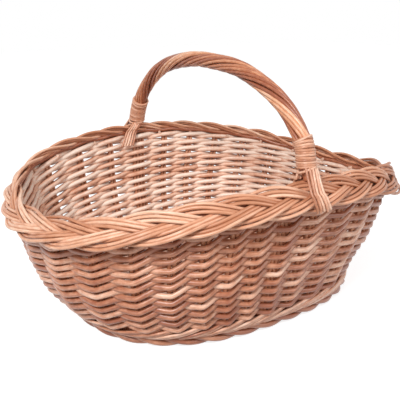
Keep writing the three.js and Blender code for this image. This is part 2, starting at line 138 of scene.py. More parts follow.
def stakeShare(k):
    # share of the way round at stake k: closest along the front, farthest apart at the ends
    angle = 2 * math.pi * np.asarray(k, float) / shape["stakeCount"]
    share = angle / (2 * math.pi) + shape["stakeStart"]
    for times, sine, cosine in shape["stakeWaves"]:
        share = share + (sine * np.sin(times * angle) + cosine * np.cos(times * angle))
    return share


# Willow: noise on a rod is {"scale": round and along it, "detail", "rough", "tone": how far it shifts
# the tone either way, "depth": its part in the bump}

bark = {
    "streak": {"scale": (2.2, 2.2, 9.0), "detail": 3.0, "rough": 0.55, "tone": 0.22, "depth": 0.6},
    "patch": {"scale": (0.5, 0.5, 14.0), "detail": 2.0, "rough": 0.55, "tone": 0.2},
    "grain": {"scale": (9.0, 9.0, 60.0), "detail": 3.0, "rough": 0.65, "tone": 0.06, "depth": 0.4},
    "knot": {"scale": (3.0, 3.0, 120.0), "detail": 2.0, "rough": 0.4, "depth": 0.5},
}
barkLook = {
    "span": (0.3, 0.7), "knotSpan": (0.66, 0.78),  # the part of a noise's range that counts
    "rampScale": 0.6, "low": 0.04, "mid": 0.3, "high": 0.58, "paleAndLit": 0.95,
    "paleAndLitColour": (0.90, 0.72, 0.60, 1),  # pale rods, and painted light on the weavers' inward side
    "knotColour": (0.55, 0.38, 0.27, 1), "knotStrength": 0.6,
    "smoother": -0.08, "rougher": 0.1, "coatRough": 0.3, "specular": 0.45,
    "bump": 0.35, "bumpDistance": 0.0006,
}
finishes = {
    "wallWillow": {"low": (0.33, 0.10, 0.045), "mid": (0.55, 0.235, 0.13), "high": (0.78, 0.46, 0.32),
                   "rough": 0.34, "coat": 0.35},
    "innerWillow": {"low": (0.55, 0.30, 0.20), "mid": (0.70, 0.43, 0.31), "high": (0.84, 0.60, 0.47),
                    "rough": 0.5, "coat": 0.1},
    "borderWillow": {"low": (0.47, 0.185, 0.09), "mid": (0.67, 0.325, 0.19), "high": (0.84, 0.53, 0.37),
                     "rough": 0.38, "coat": 0.22},
    "handleWillow": {"low": (0.30, 0.080, 0.033), "mid": (0.51, 0.185, 0.085),
                     "high": (0.74, 0.37, 0.205), "rough": 0.36, "coat": 0.25},
    "skeinWillow": {"low": (0.40, 0.15, 0.075), "mid": (0.62, 0.29, 0.17), "high": (0.82, 0.50, 0.35),
                    "rough": 0.4, "coat": 0.2},
}


def willow(name):
    look = finishes[name]
    mat = bpy.data.materials.new(name)
    mat.use_nodes = True
    nodes, links = mat.node_tree.nodes, mat.node_tree.links
    shader = nodes["Principled BSDF"]

    def add(kind, **values):
        node = nodes.new("ShaderNode" + kind)
        for key, value in values.items():
            setattr(node, key, value)
        return node

    def noise(vector, kind):
        mapping = add("Mapping")
        mapping.inputs["Scale"].default_value = kind["scale"]
        links.new(vector, mapping.inputs["Vector"])
        tex = add("TexNoise")
        tex.inputs["Scale"].default_value = 1.0
        tex.inputs["Detail"].default_value = kind["detail"]
        tex.inputs["Roughness"].default_value = kind["rough"]
        links.new(mapping.outputs["Vector"], tex.inputs["Vector"])
        return tex.outputs["Fac"]

    def between(value, span, newLow, newHigh):
        node = add("MapRange")
        for key, number in zip(("From Min", "From Max", "To Min", "To Max"), (*span, newLow, newHigh)):
            node.inputs[key].default_value = number
        links.new(value, node.inputs["Value"])
        return node.outputs["Result"]

    def maths(operation, a, b):
        node = add("Math", operation=operation)
        for socket, value in zip(node.inputs, (a, b)):
            if isinstance(value, (int, float)):
                socket.default_value = value
            else:
                links.new(value, socket)
        return node.outputs["Value"]

    fibre = add("Attribute", attribute_name="fibre").outputs["Vector"]
    mixed = add("Attribute", attribute_name="tone").outputs["Fac"]
    made = {kind: noise(fibre, bark[kind]) for kind in ("streak", "patch", "grain", "knot")}
    for kind in ("streak", "patch", "grain"):
        shift = bark[kind]["tone"]
        mixed = maths("ADD", mixed, between(made[kind], barkLook["span"], -shift, shift))
    ramp = add("ValToRGB")
    stops = ramp.color_ramp.elements
    stops[0].position = barkLook["low"]
    stops[0].color = (*look["low"], 1)
    stops[1].position = barkLook["paleAndLit"]
    stops[1].color = barkLook["paleAndLitColour"]
    for key in ("mid", "high"):
        stops.new(barkLook[key]).color = (*look[key], 1)
    links.new(maths("MULTIPLY", mixed, barkLook["rampScale"]), ramp.inputs["Fac"])
    dark = add("Mix", data_type="RGBA", blend_type="MULTIPLY")
    dark.inputs["B"].default_value = barkLook["knotColour"]
    knots = between(made["knot"], barkLook["knotSpan"], 0.0, barkLook["knotStrength"])
    links.new(knots, dark.inputs["Factor"])
    links.new(ramp.outputs["Color"], dark.inputs["A"])
    links.new(dark.outputs["Result"], shader.inputs["Base Color"])
    rough = between(made["grain"], barkLook["span"],
                    look["rough"] + barkLook["smoother"], look["rough"] + barkLook["rougher"])
    links.new(rough, shader.inputs["Roughness"])
    shader.inputs["Coat Weight"].default_value = look["coat"]
    shader.inputs["Coat Roughness"].default_value = barkLook["coatRough"]
    shader.inputs["Specular IOR Level"].default_value = barkLook["specular"]
    height = maths("ADD", maths("MULTIPLY", made["streak"], bark["streak"]["depth"]),
                   maths("MULTIPLY", made["grain"], bark["grain"]["depth"]))
    pits = between(made["knot"], barkLook["knotSpan"], 0.0, bark["knot"]["depth"])
    height = maths("SUBTRACT", height, pits)
    bump = add("Bump")
    bump.inputs["Strength"].default_value = barkLook["bump"]
    bump.inputs["Distance"].default_value = barkLook["bumpDistance"]
    links.new(height, bump.inputs["Height"])
    links.new(bump.outputs["Normal"], shader.inputs["Normal"])
    return mat


willows = {name: willow(name) for name in finishes}
print("willow finishes:", len(willows))


# Rods: each is {"path": points, "radius": one or many, "tone": one or many, "closed": bool} and may
# have "inward": directions in which its side is paler (painted light), as long as the change of tone
# there

# the last entry scales the painted light on the side of a rod that faces its inward direction
rodMesh = {"sides": 8, "crease": 50, "patternRate": 10, "patternStarts": 40, "paintedLightGain": 1.4}


def layRods(name, rods, finish, replaced=()):
    sides = rodMesh["sides"]
    bpy.ops.object.select_all(action="DESELECT")
    curve = bpy.data.curves.new(name, "CURVE")
    curve.dimensions = "3D"
    curve.bevel_depth = 1.0
    curve.bevel_resolution = (sides - 4) // 2
    fibre, tone, middles, inward = [], [], [], []
    for rod in rods:
        path = np.asarray(rod["path"], float)
        count = len(path)
        radius = np.broadcast_to(rod["radius"], count)
        spline = curve.splines.new("POLY")
        spline.points.add(count - 1)
        spline.points.foreach_set("co", np.concatenate([path, np.ones((count, 1))], -1).ravel())
        spline.points.foreach_set("radius", radius.astype(np.float32))
        spline.use_cyclic_u = rod.get("closed", False)
        spline.use_smooth = True
        along = np.concatenate([[0], np.cumsum(np.linalg.norm(np.diff(path, axis=0), axis=1))])
        if rod.get("closed", False):  # the pattern comes back to its start
            turn = 2 * math.pi * along / (along[-1] + along[1])
            along = along[-1] / (2 * math.pi) * np.sin(turn)
        around = 2 * math.pi * np.arange(sides) / sides
        start = chance.uniform(0, rodMesh["patternStarts"])
        ring = np.zeros((count, sides, 3), np.float32)
        ring[..., 0] = np.cos(around) + start
        ring[..., 1] = np.sin(around)
        ring[..., 2] = along[:, None] * rodMesh["patternRate"] + start
        fibre.append(ring.reshape(-1, 3))
        tone.append(np.repeat(np.broadcast_to(rod["tone"], count), sides).astype(np.float32))
        middles.append(np.repeat(path, sides, axis=0))
        paler = np.broadcast_to(rod.get("inward", (0, 0, 0)), (count, 3))
        inward.append(np.repeat(paler, sides, axis=0))
    piece = bpy.data.objects.new(name, curve)
    bpy.context.collection.objects.link(piece)
    piece.select_set(True)
    bpy.context.view_layer.objects.active = piece
    bpy.ops.object.convert(target="MESH")
    piece = bpy.context.object
    mesh = piece.data
    place = np.empty(len(mesh.vertices) * 3, np.float32)
    mesh.vertices.foreach_get("co", place)
    side = place.reshape(-1, 3) - np.concatenate(middles)
    side /= np.linalg.norm(side, axis=1, keepdims=True)
    # painted light: the side of a rod that faces its inward direction is made paler
    facing = (side * np.concatenate(inward)).sum(1)
    tone = np.concatenate(tone) + np.clip(facing * rodMesh["paintedLightGain"], 0, 1)
    fibreData = mesh.attributes.new("fibre", "FLOAT_VECTOR", "POINT").data
    fibreData.foreach_set("vector", np.concatenate(fibre).ravel())
    mesh.attributes.new("tone", "FLOAT", "POINT").data.foreach_set("value", tone.astype(np.float32))
    bpy.ops.object.mode_set(mode="EDIT")
    bpy.ops.mesh.select_all(action="SELECT")
    bpy.ops.mesh.fill_holes(sides=0)  # the cut ends
    bpy.ops.mesh.normals_make_consistent(inside=False)
    bpy.ops.object.mode_set(mode="OBJECT")
    bpy.ops.object.shade_smooth_by_angle(angle=math.radians(rodMesh["crease"]))
    mesh.materials.clear()
    mesh.materials.append(willows[finish])
    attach(piece, "root")
    if replaced:
        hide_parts(*replaced)


def named(*starts):
    return [n for n in nodeNames if n.startswith(starts)]


def smoothPath(points, count):
    # Catmull-Rom through a few points
    p = np.asarray(points, float)
    p = np.concatenate([[2 * p[0] - p[1]], p, [2 * p[-1] - p[-2]]])
    t = np.linspace(0, len(p) - 3 - 1e-9, count)
    i = t.astype(int)
    f = (t - i)[:, None]
    a, b, c, d = p[i], p[i + 1], p[i + 2], p[i + 3]
    bend = (2 * a - 5 * b + 4 * c - d) * f ** 2 + (3 * b - a - 3 * c + d) * f ** 3
    return 0.5 * (2 * b + (c - a) * f + bend)


# Siding: rows of two weavers that swap sides between the stakes

siding = {
    "rows": 13, "lowest": 0.125, "highest": 1.045, "radius": 0.0032, "reach": 0.0050, "lift": 0.0027,
    "stepsPerStake": 20, "lengths": (8, 10, 12, 14), "shortest": 6, "pastStake": 0.42,
    "wander": 0.0003, "wanderWaves": ((3, 1, 1), (7, 2.3, 0.7)),
    "bend": 0.022, "backTurn": 0.10, "backEarly": 0.09, "backDepth": 0.03,
    "insideFall": 1.2, "insideCurl": 3.2, "kink": 1.2, "rounding": 0.004,
    "handleReach": 0.0012, "handleBreadth": 0.75, "thinner": 0.22, "thinnerKept": 0.7,
    "thickness": (0.93, 1.08), "taper": (1.05, 0.93), "toneShape": (1.6, 1.8), "toneSpan": 1.25,
    # the last entry paints light onto the inward side of the weavers, on the inside of the wall
    "toneDrop": 0.24, "paintedInsideLight": 0.98,
}


def weaverPath(v, first, last, side, seed):
    s = siding
    steps = int(round((last - first) * s["stepsPerStake"])) + 1
    k = np.linspace(first, last, steps)  # in stakes
    u = stakeShare(k)
    wander = s["wander"] * sum(size * np.sin(2 * math.pi * (waves * u + phase * seed))
                               for waves, phase, size in s["wanderWaves"])
    point, normal, climb = wallFrame(u, v)
    # a weaver comes out low, lies level as far as the stake, bends there and climbs over the start
    # of the next weaver as it goes in; along the back it climbs steeply behind the stake, and
    # inside the wall it lies nearly level
    half = np.mod(k + side + 0.5, 2.0)
    outside = half < 1
    past = np.mod(half, 1.0) - 0.5
    late = 4 * s["bend"] * np.log1p(np.exp(past / s["bend"])) - 1
    steep = np.tanh((past + s["backEarly"]) / s["backTurn"])
    back = 0.5 + 0.5 * np.tanh(point[:, 1] / s["backDepth"])
    level = -s["insideFall"] * past - s["insideCurl"] * past ** 3
    lift = s["lift"] * np.where(outside, late + (steep - late) * back, level) + wander
    swing = (1 - np.sqrt(4 * past ** 2 + s["rounding"]) ** s["kink"]) * np.where(outside, 1, -1)
    # the handle's stakes, half of the way round from each other, stand deeper
    apart = shape["stakeCount"] / 2
    atHandle = np.exp(-((np.mod(k, apart) - apart / 2) / s["handleBreadth"]) ** 2)
    reach = s["reach"] + s["handleReach"] * atHandle
    path = point + normal * (swing * reach)[:, None] + climb * lift[:, None]
    # thinner outside the stakes, least so along the back, where light would show through
    thinner = s["thinner"] * (1 - s["thinnerKept"] * back)
    return path, -normal, s["radius"] * (1 - thinner * np.clip(swing, 0, 1))


def buildSiding():
    s = siding
    count = shape["stakeCount"]
    for row in range(s["rows"]):
        v = s["lowest"] + (s["highest"] - s["lowest"]) * row / (s["rows"] - 1)
        rods = []
        seed = chance.random()
        for side in (0, 1):
            at = chance.randrange(count) * 2 + 1 - side
            end = at + count
            while at < end:
                length = min(chance.choice(s["lengths"]), end - at)
                if end - at - length < s["shortest"]:
                    length = end - at
                path, inward, radius = weaverPath(v, at - s["pastStake"], at + length + s["pastStake"],
                                                  side, seed)
                taper = np.linspace(*s["taper"], len(path)) * chance.uniform(*s["thickness"])
                tone = chance.betavariate(*s["toneShape"]) * s["toneSpan"] - s["toneDrop"]
                # the inward side of each weaver is painted paler: painted light on the inside of the
                # wall
                rods.append({"path": path, "radius": radius * taper, "tone": tone,
                             "inward": inward * s["paintedInsideLight"]})
                at += length
        number = "%02d" % (row + 1)
        layRods("weavers_" + number, rods, "wallWillow", ["siding_row_" + number])


buildSiding()
print("siding woven")


# Stakes: pairs of thin rods, four abreast under the handle

stakes = {"abreast": 2, "abreastAtHandle": 4, "atHandle": (7, 21), "radius": 0.0022, "spacing": 0.0045,
          "lowest": -0.02, "highest": 1.06, "steps": 16, "tone": (-0.1, 0.5)}


def buildStakes():
    s = stakes
    rods = []
    for i in range(shape["stakeCount"]):
        abreast = s["abreastAtHandle"] if i in s["atHandle"] else s["abreast"]
        v = np.linspace(s["lowest"], s["highest"], s["steps"])
        point, normal, climb = wallFrame(np.full_like(v, stakeShare(i)), v)
        across = np.cross(climb, normal)
        for k in range(abreast):
            offset = (k - (abreast - 1) / 2) * s["spacing"]
            rods.append({"path": point + across * offset, "radius": s["radius"],
                         "tone": chance.uniform(*s["tone"])})
    layRods("stakes", rods, "borderWillow", named("side_stake"))


buildStakes()
print("stakes set")


# Border: a plait of flat bundles of rods. Its ends say what changes round an end of the oval: share
# of the way round, breadth, part of the plait's width and of its height added, and how far outward

plait = {
    "strands": 5, "repeats": 6, "crowding": 0.0716, "phase": 0.124, "steps": 44,
    "width": 0.034, "thickness": 0.017, "tilt": 45, "upright": 24, "uprightAt": (0.905, 0.05),
    "sway": 0.0108, "flatten": -0.05, "lift": 0.0035, "lean": 0.12,
    "rods": 3, "radius": 0.00174, "rodThickness": (0.93, 1.06), "spacing": 0.0036,
    "ends": ((0.42, 0.06, -0.12, -0.15, 0.0), (0.90, 0.05, 0.2, 0.25, 0.0040)),
    "wobble": 0.0004, "wobbleWaves": 13, "bob": 0.0005, "bobWaves": 9,
    # painted shade: the border's rods are darker round the +X end
    "tone": (0.1, 0.95), "endShade": 0.6, "endShadeAt": (0.90, 0.12),
}


def plaitAxes(u):
    out = ringOutward(borderRing, u)
    # the plait stands more upright round the +X end
    tilt = np.radians(plait["tilt"] - plait["upright"] * aroundPlace(u, *plait["uprightAt"]))[:, None]
    return out * np.sin(tilt) - upward * np.cos(tilt), out * np.cos(tilt) + upward * np.sin(tilt)


def plaitTurn(u, strand):
    crowd = plait["crowding"] * np.sin(4 * math.pi * u)  # the repeats stand closer along the sides
    return 2 * math.pi * (plait["repeats"] * u - crowd + plait["phase"] + strand / plait["strands"])


def plaitPath(u, strand, place, height):
    # a rod of a strand's bundle, which lies aslant so that it overlaps the next bundle like a shingle
    turn = plaitTurn(u, strand)
    width, face = plaitAxes(u)
    sway = plait["sway"] * (np.sin(turn) + plait["flatten"] * np.sin(3 * turn))
    lean = plait["lean"] * np.sin(turn - math.pi / 4)
    offset = (place - (plait["rods"] - 1) / 2) * plait["spacing"]
    across = sway + offset * np.cos(lean) - height * np.sin(lean)
    rise = -plait["lift"] * np.sin(2 * turn) + offset * np.sin(lean) + height * np.cos(lean)
    wide, high, push = np.ones_like(u), np.ones_like(u), np.zeros_like(u)
    for middle, breadth, wider, higher, outward in plait["ends"]:
        near = aroundPlace(u, middle, breadth)
        wide, high, push = wide + wider * near, high + higher * near, push + outward * near
    point = borderPoint(u) + ringOutward(borderRing, u) * push[:, None]
    return point + width * (across * wide)[:, None] + face * (rise * high)[:, None]


def segmentTones(turn, low, high):
    # a new rod, and so a new tone, from each place where the strand runs underneath
    segment = np.floor((turn - math.pi / 4) / math.pi).astype(int)
    table = {k: chance.uniform(low, high) for k in sorted(set(segment.tolist()))}
    first, last = segment.min(), segment.max()
    table[last] = table[first]
    return np.array([table[k] for k in segment.tolist()])


def buildBorder():
    p = plait
    steps = p["repeats"] * p["steps"]
    u = np.arange(steps) / steps
    endShade = p["endShade"] * aroundPlace(u, *p["endShadeAt"])  # painted shade, darker round the +X end
    for strand in range(p["strands"]):
        turn = plaitTurn(u, strand)
        rods = []
        for place in range(p["rods"]):
            wobble = p["wobble"] * np.sin(2 * math.pi * (p["wobbleWaves"] * u + chance.random()))
            bob = p["bob"] * np.sin(2 * math.pi * (p["bobWaves"] * u + chance.random()))
            path = plaitPath(u, strand, place + wobble / p["spacing"], bob)
            rods.append({"path": path, "radius": p["radius"] * chance.uniform(*p["rodThickness"]),
                         "tone": segmentTones(turn, *p["tone"]) - endShade, "closed": True})
        number = str(strand + 1)
        layRods("plait_strand_" + number, rods, "borderWillow", ["border_strand_" + number])


buildBorder()
print("border plaited")


# Cut ends of rods, tucked in under the border's inner edge

tucks = {"count": 24, "first": 0.336, "sway": 0.004, "inset": 0.0108, "below": 0.0032, "lower": 0.0015,
         "outward": 0.75, "upward": 0.2, "aslant": (-0.35, 0.1), "length": 0.010,
         "steps": (0, 0.12, 0.5, 1), "radius": 0.0019, "thickness": (0.9, 1.15), "tone": (0.7, 1)}


def buildTucks():
    t = tucks
    rods = []
    for k in range(t["count"]):
        u = np.array([(k + t["first"]) / t["count"] + chance.uniform(-t["sway"], t["sway"])])
        out = ringOutward(borderRing, u)[0]
        along = np.array([-out[1], out[0], 0.0])
        below = t["below"] + chance.uniform(0, t["lower"])
        end = borderPoint(u)[0] - out * t["inset"] - upward * below
        aslant = along * chance.uniform(*t["aslant"])
        back = (out * t["outward"] + upward * t["upward"] + aslant) * t["length"]
        radius = t["radius"] * chance.uniform(*t["thickness"])
        rods.append({"path": [end + back * f for f in t["steps"]], "radius": radius,
                     "tone": chance.uniform(*t["tone"])})
    layRods("tucked_ends", rods, "innerWillow")


buildTucks()
print("ends tucked in")


# Foot: thick rods rolled round the bottom

foot = {"height": 0.0069, "reach": 0.0038, "radius": 0.0031, "rods": 3, "turns": 11, "stepsPerTurn": 24,
        "tone": (-0.35, 0.5)}


def buildFoot():
    f = foot
    steps = f["turns"] * f["stepsPerTurn"]
    u = np.arange(steps) / steps
    out = ringOutward(footRing, u)
    centre = flat(ringPoint(footRing, u), f["height"])
    rods = []
    for k in range(f["rods"]):
        turn = 2 * math.pi * (-f["turns"] * u + k / f["rods"])
        path = centre + out * (f["reach"] * np.cos(turn))[:, None]
        path = path + upward * (f["reach"] * np.sin(turn))[:, None]
        # a new rod, and so a new tone, at each turn
        segment = np.floor((turn + math.pi) / (2 * math.pi)).astype(int)
        tones = [chance.uniform(*f["tone"]) for _ in range(f["turns"] + 1)]
        tones[-1] = tones[0]
        tone = np.array([tones[j - segment.min()] for j in segment])
        rods.append({"path": path, "radius": f["radius"], "tone": tone, "closed": True})
    layRods("foot_rods", rods, "wallWillow", ["foot_border"])


buildFoot()
print("foot rolled")


# Upsett: a pair of thin rods that rises from the foot at each stake, and the rods of the same rounds
# that lie inside the stakes

upsett = {
    "radius": 0.00155, "thickness": (0.92, 1.1), "spread": 2.05, "steps": 26,
    "bays": 3.1, "bayChange": (0.85, 1.2), "lowest": -0.03, "highest": 0.100,
    "topChange": (0.85, 1.12), "climb": 0.9, "belowWall": 0.12, "startReach": 0.0012,
    "reach": 0.0052, "settle": 1.02, "swell": 0.55, "toneLow": 0.15, "toneShape": (2.4, 1.6),
    "inside": {"heights": (0.0, 0.042, 0.084), "reach": 0.0042, "radius": 0.0027, "tone": 0.75,
               "ripple": 0.0006, "phase": 7, "stepsPerStake": 8},
}


def buildUpsett():
    a = upsett
    rods = []
    count = shape["stakeCount"]
    s = np.linspace(0, 1, a["steps"])
    swell = np.sin(math.pi * np.clip(s * a["settle"], 0, 1)) ** a["swell"]
    reach = (a["startReach"] + a["reach"] * swell)[:, None]
    for k in range(count):
        bays = a["bays"] * chance.uniform(*a["bayChange"])
        top = a["highest"] * chance.uniform(*a["topChange"])
        v = a["lowest"] + (top - a["lowest"]) * s ** a["climb"]
        point, normal, climb = wallFrame(stakeShare(k + bays * s), np.maximum(v, 0.0))
        point = point + climb * np.minimum(v, 0.0)[:, None] * a["belowWall"]
        for pair in (-0.5, 0.5):
            path = point + normal * reach + climb * (pair * a["spread"] * a["radius"])
            rods.append({"path": path, "radius": a["radius"] * chance.uniform(*a["thickness"]),
                         "tone": a["toneLow"] + chance.betavariate(*a["toneShape"])})
    b = a["inside"]
    steps = count * b["stepsPerStake"]
    u = np.arange(steps) / steps
    for v in b["heights"]:
        point, normal, climb = wallFrame(u, v)
        ripple = b["ripple"] * np.cos(2 * math.pi * (count * u + b["phase"] * v))
        path = point - normal * b["reach"] + climb * ripple[:, None]
        rods.append({"path": path, "radius": b["radius"], "tone": b["tone"], "closed": True})
    layRods("upsett_rods", rods, "wallWillow", ["upsett_wale"])


buildUpsett()
print("upsett woven")


# Base: oval rounds of thin rods over the sticks, from the edge inward, with fewer ribs farther in

base = {"height": 0.0065, "edge": 0.0075, "pitch": 0.0045, "radius": 0.0024, "thickness": (0.92, 1.08),
        "wave": 0.0014, "ribs": [28] * 8 + [14] * 10 + [8] * 10, "stepsPerRib": 8, "tone": (0.3, 0.8)}


def buildBase():
    b = base
    rods = []
    for k, ribs in enumerate(b["ribs"]):
        across = 2 * (b["edge"] + k * b["pitch"])
        ring = ovalRing(shape["footLength"] - across, shape["footWidth"] - across, shape["footShift"],
                        shape["footFullness"])
        steps = ribs * b["stepsPerRib"]
        u = np.arange(steps) / steps
        z = b["height"] + b["wave"] * np.cos(math.pi * (ribs * u + k))
        radius = b["radius"] * chance.uniform(*b["thickness"])
        rods.append({"path": flat(ringPoint(ring, u), z), "radius": radius,
                     "tone": chance.uniform(*b["tone"]), "closed": True})
    layRods("base_rounds", rods, "innerWillow", ["base_weave"])


buildBase()
print("base woven")


# Handle: a core, and the rods roped round it in groups. -1 is the front leg, 1 the back leg.

handle = {"span": 0.356, "spring": 0.137, "top": 0.264, "shift": -0.004, "fullness": 2.25,
          "straightBelow": 0.206, "straighten": 0.0065, "straightenOver": 0.03, "archSteps": 1440,
          "bindingBottom": {-1: 0.177, 1: 0.171}, "steps": 130,
          "coreBottom": 0.1675, "coreRadius": 0.0050, "coreTone": 0.35}
rope = {"rods": 12, "group": 4, "gather": 0.10, "turns": 2.1, "radius": 0.00178,
        "thickness": (0.95, 1.08), "reach": 0.0067, "groupRise": 0.0004, "drawnIn": 0.0012,
        "drawnLate": 6, "tones": (-0.05, 0.15, 0.45, 0.7, 1.0)}


def archPoints():
    # from the front leg over to the back leg
    h = handle
    a = np.linspace(math.pi, 0, h["archSteps"] + 1)
    c, s = np.cos(a), np.abs(np.sin(a))
    p = 2 / h["fullness"]
    arch = np.stack([np.zeros_like(a), h["shift"] + h["span"] / 2 * np.sign(c) * np.abs(c) ** p,
                     h["spring"] + (h["top"] - h["spring"]) * s ** p], -1)
    # the front leg comes down straighter than the back one
    low = np.clip((h["straightBelow"] - arch[:, 2]) / h["straightenOver"], 0, 1)
    arch[:, 1] += np.where(c < 0, h["straighten"] * low * low * (3 - 2 * low), 0)
    return arch


archLine = archPoints()
archRun = np.concatenate([[0], np.cumsum(np.linalg.norm(np.diff(archLine, axis=0), axis=1))])


def archPlace(distance):
    return np.stack([np.interp(distance, archRun, archLine[:, k]) for k in range(3)], -1)


def onArch(distance):
    # place on the arch, and its directions along, to +X and inward
    step = 0.002
    distance = np.asarray(distance, float)
    along = archPlace(distance + step) - archPlace(distance - step)
    along /= np.linalg.norm(along, axis=-1, keepdims=True)
    across = np.broadcast_to(np.array([1.0, 0, 0]), along.shape)
    return archPlace(distance), along, across, np.cross(across, along)


def aroundArch(distance, turn, reach):
    # a path that winds round the arch
    point, along, across, inward = onArch(distance)
    return point + across * (reach * np.cos(turn))[:, None] + inward * (reach * np.sin(turn))[:, None]


def archDistance(z, side):
    # distance along the arch where it passes a height, on one leg
    half = len(archLine) // 2
    if side < 0:
        return float(np.interp(z, archLine[:half, 2], archRun[:half]))
    return float(np.interp(z, archLine[half:, 2][::-1], archRun[half:][::-1]))


def buildHandle():
    h, r = handle, rope
    low, high = [archDistance(h["bindingBottom"][side], side) for side in (-1, 1)]
    t = np.linspace(low, high, h["steps"])
    share = (t - low) / (high - low)
    legs = np.abs(2 * share - 1) ** r["drawnLate"]  # the rope is drawn in towards its bindings
    middle = (r["group"] - 1) / 2
    rods = []
    for k in range(r["rods"]):
        off = k % r["group"] - middle
        turn = 2 * math.pi * (r["turns"] * share + (k - r["gather"] * off) / r["rods"])
        reach = r["reach"] + r["groupRise"] * (middle - abs(off)) - r["drawnIn"] * legs
        rods.append({"path": aroundArch(t, turn, reach),
                     "radius": r["radius"] * chance.uniform(*r["thickness"]),
                     "tone": chance.choice(r["tones"])})
    layRods("handle_rods", rods, "handleWillow", ["handle_rope"])
    t = np.linspace(archDistance(h["coreBottom"], -1), archDistance(h["coreBottom"], 1), h["steps"])
    core = {"path": archPlace(t), "radius": h["coreRadius"], "tone": h["coreTone"]}
    layRods("handle_core", [core], "handleWillow", ["handle_bow"])


buildHandle()
print("handle roped")


# Bindings: a flat skein wound close, with one slanting turn at its foot (-1) and one at its top (1)

binding = {"turns": {-1: 12, 1: 14}, "pitch": 0.00222, "reach": {-1: 0.0083, 1: 0.0092},
           "radius": 0.0015, "stepsPerTurn": 20, "start": 0.0015,
           "wander": 0.0004, "wanderWaves": 0.37, "wanderPhase": 1.3,
           "tone": 0.5, "toneChange": 0.4, "toneWaves": (2.7, 1.1)}
slantTurn = {"shift": {-1: -0.0010, 1: -0.0006}, "slant": {-1: 0.0024, 1: 0.0012}, "over": 0.0004,
             "radius": 0.001275, "tone": 0.75, "steps": 40}


def buildBinding(place, side):
    b, s = binding, slantTurn
    bottom = archDistance(handle["bindingBottom"][side] + b["start"], side)
    count, reach = b["turns"][side], b["reach"][side]
    turns = np.linspace(0, count, count * b["stepsPerTurn"] + 1)
    turn = 2 * math.pi * turns
    wander = b["wander"] * np.sin(turn * b["wanderWaves"] + b["wanderPhase"]) * np.sin(turn)
    path = aroundArch(bottom - side * (turns * b["pitch"] + wander), turn, reach)
    tone = np.sin(turns * b["toneWaves"][0] + side) * np.cos(turns * b["toneWaves"][1])
    rods = [{"path": path, "radius": b["radius"], "tone": b["tone"] + b["toneChange"] * tone}]
    turn = 2 * math.pi * np.arange(s["steps"]) / s["steps"]
    for end, middle in ((-1, bottom), (1, bottom - side * count * b["pitch"])):
        shift = s["shift"][end] + s["slant"][end] * np.cos(turn)
        path = aroundArch(middle - side * shift, turn, reach + s["over"])
        rods.append({"path": path, "radius": s["radius"], "tone": s["tone"], "closed": True})
    layRods("skein_" + place, rods, "skeinWillow", ["binding_" + place])


for place, side in (("front", -1), ("back", 1)):
    buildBinding(place, side)
print("bindings wound")


# Rod ends that spread from each binding over the border: hug is the angle round the plait at each
# point of a rod, middle the group's place along X there, and tail goes on down the wall

ends = {"places": (0, 0.24, 0.49, 0.76, 1), "tones": (0.15, 0.85, 0.35, 0.7, 1.0), "steps": 30,
        "radius": 0.0013, "thickness": (0.95, 1.1), "above": 0.004, "gather": 0.9, "off": 0.0048,
        "bow": 0.0026, "offPlait": 0.0028, "everyOther": 0.0006, "sway": 1.5,
        "outer": {"hug": (84, 70, 56, 42, 30, 18), "top": 0.0140, "bottom": 0.0160, "tail": (),
                  "middle": {-1: (-0.0030, -0.0026, -0.0018, -0.0008, 0.0002, 0.0012),
                             1: (-0.0033, -0.0056, -0.0086, -0.0122, -0.0150, -0.0185)}},
        "inner": {"hug": (165, 180, 196, 212, 230), "top": 0.0095, "bottom": 0.0160,
                  "tail": ((0.1605, 0.1470), (0.1590, 0.1390)),
                  "middle": {-1: (-0.0047, -0.0030, -0.0020, -0.0020, -0.0020, -0.0020, -0.0020),
                             1: (0.0000, -0.0030, -0.0060, -0.0090, -0.0125, -0.0170, -0.0210)}}}


def overPlait(side, degrees, off, x):
    a = math.radians(degrees)
    tilt = math.radians(plait["tilt"])
    across = (plait["width"] / 2 + off) * math.cos(a)
    through = (plait["thickness"] / 2 + off) * math.sin(a)
    out = across * math.sin(tilt) + through * math.cos(tilt)
    up = through * math.sin(tilt) - across * math.cos(tilt)
    return [x, side * (shape["borderWidth"] / 2 + out), shape["rimHeight"] + shape["rimDip"] + up]


def buildEnds(place, side):
    legY = archPlace(archDistance(handle["bindingBottom"][side], side))[1]
    for group, sign in (("outer", 1), ("inner", -1)):
        e = ends[group]
        rods = []
        tones = list(ends["tones"])
        chance.shuffle(tones)
        for k, (share, tone) in enumerate(zip(ends["places"], tones)):
            share -= 0.5
            off = ends["off"] + ends["bow"] * (1 - 4 * share * share)
            points = [[share * e["top"] * ends["gather"], legY + side * sign * off,
                       handle["bindingBottom"][side] + ends["above"]]]
            for j, middle in enumerate(e["middle"][side]):
                f = j / (len(e["middle"][side]) - 1)
                x = middle + share * (e["top"] * (1 - f) + e["bottom"] * f)
                if j < len(e["hug"]):
                    degrees = e["hug"][j] + chance.uniform(-ends["sway"], ends["sway"]) * f
                    off = ends["offPlait"] + k % 2 * ends["everyOther"]
                    points.append(overPlait(side, degrees, off, x))
                else:
                    y, z = e["tail"][j - len(e["hug"])]
                    points.append([x, side * y, z])
            rods.append({"path": smoothPath(points, ends["steps"]), "tone": tone,
                         "radius": ends["radius"] * chance.uniform(*ends["thickness"])})
        layRods(group + "_ends_" + place, rods, "skeinWillow", [group + "_rod_ends_" + place])


for place, side in (("front", -1), ("back", 1)):
    buildEnds(place, side)
print("rod ends spread")


# Stakes bent over along the top of the wall, under the border: how high up the wall, how far inside

bent = {"places": ((1.10, 0.0030), (1.06, -0.0030)), "radius": 0.0028, "tone": 0.1, "ripple": 0.0007,
        "phase": 5, "stepsPerStake": 8}


